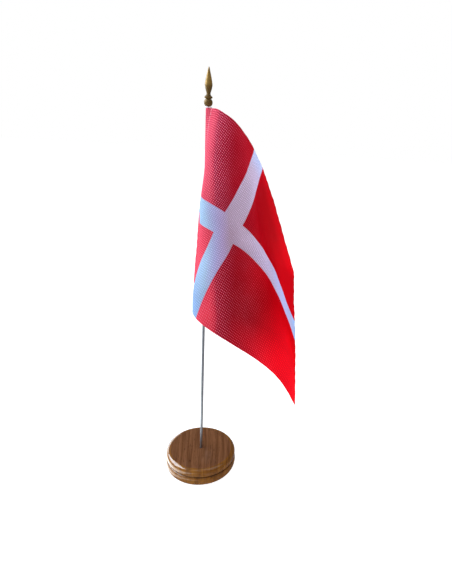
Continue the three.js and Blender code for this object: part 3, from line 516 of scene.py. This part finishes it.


# red along the band, painted pale pink beside the sleeve as painted light, darker in the middle as painted
# shade and lighter again towards the fly, by distance from the pale line beside the sleeve, mm
RED_BAND = [
    (-12.0, (0.88, 0.115, 0.185)),
    (3.0, (0.90, 0.10, 0.165)),
    (7.0, (0.74, 0.05, 0.10)),
    (10.0, (0.46, 0.022, 0.062)),
    (14.0, (0.42, 0.007, 0.034)),
    (20.0, (0.37, 0.003, 0.022)),
    (30.0, (0.37, 0.002, 0.013)),
    (60.0, (0.41, 0.001, 0.007)),
    (110.0, (0.50, 0.0005, 0.005)),
    (160.0, (0.54, 0.0005, 0.005)),
]
# white along the band, with painted light and shade: bluish beside the sleeve and at the fly, lavender grey
# in the shaded middle, mm
WHITE_BAND = [
    (-20.0, (0.33, 0.53, 0.80)),
    (-2.0, (0.47, 0.68, 0.92)),
    (8.0, (0.54, 0.57, 0.97)),
    (15.0, (0.61, 0.50, 0.86)),
    (24.0, (0.57, 0.41, 0.55)),
    (45.0, (0.50, 0.36, 0.47)),
    (66.0, (0.46, 0.36, 0.51)),
    (87.0, (0.44, 0.39, 0.59)),
    (108.0, (0.43, 0.46, 0.77)),
    (127.0, (0.39, 0.42, 0.65)),
    (145.0, (0.30, 0.52, 0.90)),
]
EYE_THROUGH_LIGHT = 0.8
WHITE_EYE = (0.80, 0.72, 0.88)
WOOD_DARK, WOOD_LIGHT, WOOD_STREAK = (0.20, 0.079, 0.031), (0.31, 0.134, 0.059), (0.112, 0.042, 0.018)
# painted light: the turned side's warmer, more golden tint than the flat top
WOOD_SIDE_TINT = (1.2, 1.06, 0.19)
ROD_A, ROD_B = (0.34, 0.36, 0.39), (0.43, 0.455, 0.49)
GOLD_A, GOLD_B = (0.22, 0.13, 0.03), (0.31, 0.19, 0.05)


# ---- base, pad ---------------------------------------------------------------
def make_base():
    side_top = BASE_SIDE_TOP_Z
    pts = [(0, 1.5, 0), (31.3, 1.5, 0.1), (31.3, BASE_FOOT_Z, 0.1)]
    pts += [
        (BASE_BOTTOM_R - 0.5, BASE_FOOT_Z, 0.2),
        (BASE_BOTTOM_R, BASE_FOOT_Z + 0.3, 0.3),
        (BASE_BOTTOM_R + (BEAD_R - BASE_BOTTOM_R) * 0.55, BASE_FOOT_Z + 1.3, 0.6),
        (BEAD_R - 0.35, BASE_FOOT_Z + 2.8, 0.8),
        (BEAD_R, BASE_FOOT_Z + 4.6, 0.8),
        (BEAD_R - 0.1, GROOVE_Z - GROOVE_HALF_W - 1.6, 0.6),
        (BEAD_R - 0.45, GROOVE_Z - GROOVE_HALF_W - 0.4, 0.5),
        (BEAD_R - 1.1, GROOVE_Z - GROOVE_HALF_W * 0.5, 0.4),
        (GROOVE_R + 0.15, GROOVE_Z - 0.35, 0.2),
        (GROOVE_R, GROOVE_Z, 0.2),
        (GROOVE_R + 0.15, GROOVE_Z + 0.35, 0.2),
        (BASE_R - 0.6, GROOVE_Z + GROOVE_HALF_W * 0.6, 0.4),
        (BASE_R - 0.2, GROOVE_Z + GROOVE_HALF_W, 0.4),
        (BASE_R, GROOVE_Z + GROOVE_HALF_W + 1.2, 0.6),
    ]
    for i in range(0, 15):
        a = i / 14 * math.pi / 2
        pts.append((BASE_TOP_R + (BASE_R - BASE_TOP_R) * math.cos(a) ** 0.9, side_top + (BASE_TOP_Z - side_top) * math.sin(a), 0.15))
    for r in (28.0, 22.0, 15.0, 8.0, 4.0):
        pts.append((r, BASE_TOP_Z, 0))
    pts += [(BORE_R + 0.3, BASE_TOP_Z, 0.1), (BORE_R, BASE_TOP_Z - 0.3, 0.1), (BORE_R, BORE_BOTTOM_Z, 0), (0, BORE_BOTTOM_Z - 0.6, 0)]
    ob = lathe("base_turning", fillet(pts, 0.2, 3), 192)
    sharpen(ob, 60)
    dress(ob, wood_material())
    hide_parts("wooden_base")
    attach(ob, "base")
    return ob


def make_pad():
    pts = [(0, 0, 0), (10, 0, 0), (22, 0, 0), (PAD_R - 0.2, 0, 0.15), (PAD_R, 0.2, 0.15), (PAD_R, PAD_T - 0.15, 0.15), (PAD_R - 0.15, PAD_T, 0.1), (0, PAD_T, 0)]
    fuzz = {}

    def wobble(a, z):
        k = round(a, 5)
        return 1 - 0.0035 * fuzz.setdefault(k, random.random())

    ob = lathe("felt_disc", fillet(pts, 0.1, 2), 180, wobble)
    sharpen(ob, 70)
    dress(ob, felt_material())
    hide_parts("felt_pad")
    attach(ob, "base")
    return ob


# ---- rod, washer, finial -------------------------------------------------------
def make_rod():
    pts = [(0, ROD_BOTTOM_Z, 0), (ROD_R - 0.3, ROD_BOTTOM_Z, 0.1), (ROD_R, ROD_BOTTOM_Z + 0.3, 0.1)]
    pts += [(ROD_R, z, 0) for z in np.linspace(20, 360, 18)]
    pts += [(ROD_R, ROD_TOP_Z - 0.3, 0.1), (ROD_R - 0.3, ROD_TOP_Z, 0.1), (0, ROD_TOP_Z, 0)]
    ob = lathe("rod_wire", fillet(pts, 0.1, 2), 40)
    sharpen(ob, 60)
    dress(ob, steel_material())
    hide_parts("steel_rod")
    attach(ob, "rod")
    return ob


def make_washer():
    zb = FLAG_TOP_Z + WASHER_GAP
    pts = [(BORE_R, zb), (WASHER_R - 0.25, zb), (WASHER_R - 0.07, zb + 0.07), (WASHER_R, zb + 0.25), (WASHER_R, zb + WASHER_T - 0.25), (WASHER_R - 0.07, zb + WASHER_T - 0.07), (WASHER_R - 0.25, zb + WASHER_T), (BORE_R, zb + WASHER_T)]
    ob = lathe("nylon_washer", pts, 48)
    sharpen(ob, 50)
    dress(ob, nylon_material())
    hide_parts("washer")
    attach(ob, "flag_carriage")
    return ob


def make_finial():
    z = lambda f: FINIAL_Z + f * FINIAL_L
    ball_z = 3.0
    pts = [(0, FINIAL_Z + SOCKET_DEPTH + 0.6), (BORE_R, FINIAL_Z + SOCKET_DEPTH), (BORE_R, FINIAL_Z + 0.15), (BORE_R + 0.12, FINIAL_Z)]
    for i in range(25):
        a = math.radians(-52 + (44 + 52) * i / 24)
        pts.append((BALL_R * math.cos(a), FINIAL_Z + ball_z + BALL_R * math.sin(a)))
    keys = [
        (NOTCH_R + 0.1, 0.178), (NOTCH_R, 0.19), (NOTCH_R + 0.2, 0.2), (COLLAR_R - 0.3, 0.207), (COLLAR_R, 0.222), (COLLAR_R, 0.24),
        (COLLAR_R - 0.35, 0.256), (NECK_R + 0.5, 0.275), (NECK_R + 0.1, 0.3), (NECK_R, 0.33), (NECK_R + 0.25, 0.37), (NECK_R + 0.75, 0.42),
        (SPEAR_R - 0.3, 0.475), (SPEAR_R - 0.05, 0.52), (SPEAR_R, 0.545), (SPEAR_R - 0.1, 0.58), (SPEAR_R - 0.45, 0.65), (SPEAR_R - 1.0, 0.74),
        (SPEAR_R - 1.65, 0.83), (SPEAR_R - 2.3, 0.92), (SPEAR_R - 2.75, 0.98),
    ]
    smooth = []
    for i in range(len(keys) - 1):
        p0, p1, p2, p3 = (np.array(keys[max(0, min(len(keys) - 1, i + k))]) for k in (-1, 0, 1, 2))
        for w in (0, 0.34, 0.67):
            smooth.append(tuple(0.5 * (2 * p1 + (p2 - p0) * w + (2 * p0 - 5 * p1 + 4 * p2 - p3) * w * w + (3 * p1 - p0 - 3 * p2 + p3) * w**3)))
    smooth.append(keys[-1])
    pts += [(r, z(f)) for r, f in smooth]
    pts += [(0.28, z(0.992)), (0, z(1))]

    def flats(a, zz):
        # the spear is cast with soft ridges, the turned foot isn't
        f = (zz / 1.0 - z(0.36)) / (z(0.5) - z(0.36))
        f = min(max(f, 0), 1)
        return 1 - 0.045 * f * (0.5 - 0.5 * math.cos(6 * a + 0.6))

    ob = lathe("spear_finial", pts, 72, flats)
    sharpen(ob, 55)
    dress(ob, gold_material())
    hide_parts("finial")
    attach(ob, "finial")
    return ob


# ---- flag --------------------------------------------------------------------
SIDE = 1.0  # the hem is folded to this side of the cloth


def make_flag():
    nt = 141
    t = np.linspace(0, 1, nt)
    s_seam, s_hem = at_radius(SEAM_R, t), at_radius(HEM_R, t)
    # plan direction of the cloth where it leaves the rod
    p_seam = surface(s_seam, t)
    e1 = p_seam[:, :2] / np.linalg.norm(p_seam[:, :2], axis=1, keepdims=True)
    n_seam = surface_normal(s_seam, t)
    side2 = np.stack([-e1[:, 1], e1[:, 0]], 1)
    flip = np.sign(np.sum(side2 * n_seam[:, :2], axis=1))
    e2 = side2 * flip[:, None]
    pinch, gap = 0.17, 0.25
    columns, us = [], []
    v = t * HOIST

    def layer(s, off):
        p = surface(s, t)
        return p + surface_normal(s, t) * off

    # flap, from its cut edge in to the seam
    for k in range(6):
        w = k / 5
        s = s_hem + (s_seam - s_hem) * w
        off = gap + (pinch - gap) * max(0, (w - 0.6) / 0.4)
        columns.append(layer(s, SIDE * off))
        us.append(w * (HEM_R - SEAM_R))
    # loop round the rod: straight to the circle, round it, and straight back
    start = np.array([SEAM_R, pinch])
    reach = np.hypot(*start)
    touch = math.acos(LOOP_R / reach) + math.atan2(pinch, SEAM_R)
    axis_z = surface(np.zeros_like(t), t)[:, 2]
    seam_z = p_seam[:, 2]
    flat = []
    for k in range(1, 5):
        w = k / 5
        end = np.array([LOOP_R * math.cos(touch), LOOP_R * math.sin(touch)])
        flat.append(start + (end - start) * w)
    for k in range(29):
        a = touch + (2 * math.pi - 2 * touch) * k / 28
        flat.append(np.array([LOOP_R * math.cos(a), LOOP_R * math.sin(a)]))
    for k in range(4, 0, -1):
        w = k / 5
        end = np.array([LOOP_R * math.cos(touch), -LOOP_R * math.sin(touch)])
        flat.append(np.array([start[0], -start[1]]) + (end - np.array([start[0], -start[1]])) * w)
    u_now = us[-1]
    last = start
    for q in flat:
        u_now += float(np.hypot(*(q - last)))
        last = q
        share = np.clip(q[0] / SEAM_R, 0, 1)
        xy = e1 * q[0] + e2 * (SIDE * q[1])
        z = axis_z + (seam_z - axis_z) * share
        columns.append(np.concatenate([xy, z[:, None]], 1))
        us.append(u_now)
    u_seam = u_now + float(np.hypot(*(np.array([start[0], -start[1]]) - last)))
    # main panel, from the seam out to the fly
    n_main = 158
    for k in range(n_main + 1):
        if k <= 6:
            s = s_seam + (s_hem - s_seam) * (k / 6)
        else:
            s = s_hem + (1 - s_hem) * ((k - 6) / (n_main - 6))
        d = np.mean(s - s_hem) * FLY
        if k <= 6:
            off = -SIDE * (pinch + (gap - pinch) * min(1, k / 3))
        else:
            off = -SIDE * gap * max(0.0, 1 - d / 2.5) ** 2
        columns.append(layer(s, off))
        us.append(u_seam + float(np.mean(s - s_seam)) * FLY)
    shift = us[-1] - FLY
    us = [x - shift for x in us]
    cols = np.stack(columns, 1)  # rows t, columns along the cloth
    # slack of the cloth: puckers at the seam and slow waves out on the panel
    nrow, ncol = cols.shape[:2]
    u_of = np.array(us)[None, :].repeat(nrow, 0)
    v_of = v[:, None].repeat(ncol, 1)
    du = np.gradient(cols, axis=1)
    dv = np.gradient(cols, axis=0)
    n = np.cross(du, dv)
    n /= np.linalg.norm(n, axis=-1, keepdims=True) + 1e-12
    out_on = np.clip((u_of - HEM_R - 0.5) / 6, 0, 1) ** 2
    seam_on = np.exp(-(((u_of - HEM_R - 3.5) / 5.0) ** 2)) * np.clip((u_of - HEM_R) / 3, 0, 1)
    wave = 0.16 * seam_on * np.sin(2 * math.pi * v_of / 7.3 + 0.5 * np.sin(v_of / 9.0))
    wave += out_on * 0.12 * np.sin(2 * math.pi * (u_of * 0.6 + v_of) / 31 + 1.2) * np.sin(2 * math.pi * (u_of - 0.4 * v_of) / 47)
    edge = np.minimum(np.minimum(v_of, HOIST - v_of), FLY - u_of)
    wave += out_on * 0.10 * np.exp(-edge / 1.6) * np.sin(2 * math.pi * (u_of + v_of) / 9.5)
    cols = cols + n * wave[..., None]
    # the sleeve's cut ends stay below the washer
    cols[..., 2] = np.minimum(cols[..., 2], FLAG_TOP_Z - 0.02)
    verts = cols.reshape(-1, 3) * MM
    faces = [
        (j * ncol + i, j * ncol + i + 1, (j + 1) * ncol + i + 1, (j + 1) * ncol + i)
        for j in range(nrow - 1)
        for i in range(ncol - 1)
    ]
    ob = new_object("table_flag", verts, faces)
    layer_uv = ob.data.uv_layers.new(name="cloth")
    uv = np.stack([u_of, v_of], -1).reshape(-1, 2) * MM
    loops = np.empty(len(ob.data.loops), np.int64)
    ob.data.loops.foreach_get("vertex_index", loops)
    layer_uv.data.foreach_set("uv", uv[loops].astype(np.float32).ravel())
    solid = ob.modifiers.new("thickness", "SOLIDIFY")
    solid.thickness = CLOTH * MM
    solid.offset = 0.0
    solid.use_even_offset = False
    bpy.context.view_layer.objects.active = ob
    bpy.ops.object.select_all(action="DESELECT")
    ob.select_set(True)
    bpy.ops.object.modifier_apply(modifier="thickness")
    ob.data.polygons.foreach_set("use_smooth", [True] * len(ob.data.polygons))
    sharpen(ob, 60)
    dress(ob, cloth_material())
    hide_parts("flag_cloth")
    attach(ob, "flag")
    return ob, (e1, e2, pinch), us


def make_stitches():
    """A lockstitch seam: a row of short raised stitches on each face of the sleeve's seam."""
    pitch, length, radius, rings, steps = 2.7, 2.25, 0.17, 8, 8
    verts, faces = [], []
    count = int((HOIST - 3.0) / pitch)
    for side in (-1, 1):
        for k in range(count):
            mid = 1.9 + pitch * (k + (0.5 if side > 0 else 0.0)) + 0.12 * math.sin(k * 2.3 + side)
            vs = np.linspace(mid - length / 2, mid + length / 2, steps + 1)
            tt = np.clip(vs / HOIST, 0.001, 0.999)
            ss = at_radius(np.full_like(tt, SEAM_R + 0.05 * math.sin(k * 1.7)), tt)
            p, n = surface(ss, tt), surface_normal(ss, tt)
            x = np.linspace(-1, 1, steps + 1)
            rise = (0.17 + CLOTH / 2) + 0.13 - 0.30 * np.abs(x) ** 4
            c = p + n * (side * rise)[:, None]
            thick = radius * (1 - 0.35 * np.abs(x) ** 3)
            d = np.gradient(c, axis=0)
            d /= np.linalg.norm(d, axis=1, keepdims=True)
            b = np.cross(d, n)
            b /= np.linalg.norm(b, axis=1, keepdims=True)
            m = np.cross(b, d)
            first = len(verts)
            for i in range(steps + 1):
                for q in range(rings):
                    a = 2 * math.pi * q / rings
                    verts.append((c[i] + thick[i] * (math.cos(a) * b[i] + math.sin(a) * m[i])) * MM)
            for i in range(steps):
                for q in range(rings):
                    r = (q + 1) % rings
                    faces.append((first + i * rings + q, first + i * rings + r, first + (i + 1) * rings + r, first + (i + 1) * rings + q))
            for end, row in ((0, 0), (1, steps)):
                tip = len(verts)
                verts.append((c[row] + (d[row] * (0.12 if end else -0.12))) * MM)
                for q in range(rings):
                    r = (q + 1) % rings
                    a, bb = first + row * rings + q, first + row * rings + r
                    faces.append((tip, a, bb) if end else (tip, bb, a))
    ob = new_object("seam_stitches", verts, faces)
    outward(ob)
    dress(ob, thread_material())
    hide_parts("sleeve_stitching")
    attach(ob, "flag")
    return ob


# ---- camera, light, floor ------------------------------------------------------
def make_camera():
    yaw, pitch, roll = -0.15092, 0.30566, 0.066724
    spin = Matrix.Rotation(yaw, 3, "Z")
    forward = spin @ Vector((0, math.cos(pitch), -math.sin(pitch)))
    right = spin @ Vector((1, 0, 0))
    up = right.cross(forward)
    x = math.cos(roll) * right + math.sin(roll) * up
    y = -math.sin(roll) * right + math.cos(roll) * up
    z = -forward
    cam = bpy.data.cameras.new("photo_camera")
    cam.sensor_width = 36
    cam.sensor_fit = "AUTO"
    cam.lens = 27.791
    cam.shift_x, cam.shift_y = -0.07554, -0.03744
    cam.clip_start, cam.clip_end = 0.01, 50
    ob = bpy.data.objects.new("photo_camera", cam)
    m = Matrix((x, y, z)).transposed().to_4x4()
    m.translation = Vector((0, -0.40569, 0.34834))
    ob.matrix_world = m
    bpy.context.scene.collection.objects.link(ob)
    bpy.context.scene.camera = ob


def area(name, at, to, size, energy, colour):
    light = bpy.data.lights.new(name, "AREA")
    light.shape = "RECTANGLE"
    light.size, light.size_y = size
    light.energy = energy
    light.color = colour
    ob = bpy.data.objects.new(name, light)
    ob.location = at
    ob.rotation_euler = (Vector(to) - Vector(at)).to_track_quat("-Z", "Y").to_euler()
    bpy.context.scene.collection.objects.link(ob)
    return ob


def make_light():
    key = area("window", (-1.15, 0.0, 0.42), (0, -0.05, 0.2), (0.9, 0.9), KEY_W, (0.84, 0.92, 1.0))
    key.visible_glossy = False
    card = area("window_card", (-1.05, 0.28, 0.98), (0, 0, 0.15), (1.3, 1.15), CARD_W, (0.84, 0.92, 1.0))
    card.visible_diffuse = False
    card.visible_transmission = False
    card.visible_camera = False
    # a sheet of white paper lying on the desk to the left, seen in the lacquer
    sheet = area("paper", (-0.0512, -0.0145, 0.0006), (-0.0512, -0.0145, 1.0), (0.032, 0.2), PAPER_W, (0.92, 0.99, 0.97))
    sheet.rotation_euler = (math.pi, 0.0, math.radians(15.0))
    sheet.visible_diffuse = False
    sheet.visible_transmission = False
    sheet.visible_camera = False
    # the window's far end, seen along the back of the rim
    far = area("window_end", (-0.62, 1.05, 0.26), (0, 0, 0.1), (0.8, 0.46), CARD_W * 0.12, (0.86, 0.93, 1.0))
    far.visible_diffuse = False
    far.visible_transmission = False
    far.visible_camera = False
    area("top", (0.35, -0.2, 1.6), (0, 0, 0), (1.4, 1.4), TOP_W, (1.0, 0.98, 0.96))
    world = bpy.data.worlds.new("studio")
    bpy.context.scene.world = world
    world.use_nodes = True
    nt = world.node_tree
    nt.nodes.clear()
    out = nt.nodes.new("ShaderNodeOutputWorld")
    seen = nt.nodes.new("ShaderNodeBackground")
    seen.inputs[0].default_value = (1, 1, 1, 1)
    seen.inputs[1].default_value = 1.0
    fill = nt.nodes.new("ShaderNodeBackground")
    fill.inputs[1].default_value = FILL
    coord = nt.nodes.new("ShaderNodeTexCoord")
    split = nt.nodes.new("ShaderNodeSeparateXYZ")
    nt.links.new(coord.outputs["Generated"], split.inputs[0])
    span = nt.nodes.new("ShaderNodeMapRange")
    span.interpolation_type = "SMOOTHSTEP"
    span.inputs["From Min"].default_value = -0.9
    span.inputs["From Max"].default_value = 0.6
    nt.links.new(split.outputs["X"], span.inputs["Value"])
    mix = nt.nodes.new("ShaderNodeMix")
    mix.data_type = "RGBA"
    ins = {s.identifier: s for s in mix.inputs}
    ins["A_Color"].default_value = (0.85, 0.95, 1.1, 1)
    ins["B_Color"].default_value = (0.5, 0.44, 0.38, 1)
    nt.links.new(span.outputs[0], ins["Factor_Float"])
    nt.links.new(next(s for s in mix.outputs if s.identifier == "Result_Color"), fill.inputs[0])
    path = nt.nodes.new("ShaderNodeLightPath")
    both = nt.nodes.new("ShaderNodeMixShader")
    nt.links.new(path.outputs["Is Camera Ray"], both.inputs[0])
    nt.links.new(fill.outputs[0], both.inputs[1])
    nt.links.new(seen.outputs[0], both.inputs[2])
    nt.links.new(both.outputs[0], out.inputs[0])


def make_floor():
    h = 6.0
    ob = new_object("floor", [(-h, -h, -0.0002), (h, -h, -0.0002), (h, h, -0.0002), (-h, h, -0.0002)], [(0, 1, 2, 3)], smooth=False)
    t = Tree("pale_floor")
    n = t.noise(t.place(), 3.0, 2.0)
    c = t.mix(n, (0.5, 0.5, 0.5), (0.55, 0.55, 0.55))
    path = t.node("ShaderNodeLightPath").outputs
    glow = t.math("ADD", t.math("MULTIPLY", path["Is Camera Ray"], FLOOR_GLOW), t.math("MULTIPLY", path["Is Diffuse Ray"], FLOOR_BOUNCE))
    p = t.principled(Base_Color=c, Roughness=0.9, Specular_IOR_Level=0.1, Emission_Color=(1, 1, 1), Emission_Strength=glow)
    dress(ob, t.finish(p.outputs[0]))


PAPER_W = 0.07
KEY_W, CARD_W, TOP_W, FILL, FLOOR_GLOW, FLOOR_BOUNCE = 16.0, 64.0, 7.0, 0.46, 0.97, 0.6

make_camera()
make_base()
make_pad()
make_rod()
make_washer()
make_finial()
flag, _, _ = make_flag()
stitches = make_stitches()
make_light()
make_floor()
scene = bpy.context.scene
scene.view_settings.view_transform = "Standard"
scene.view_settings.look = "None"
scene.view_settings.exposure = 0.0
scene.view_settings.gamma = 1.0
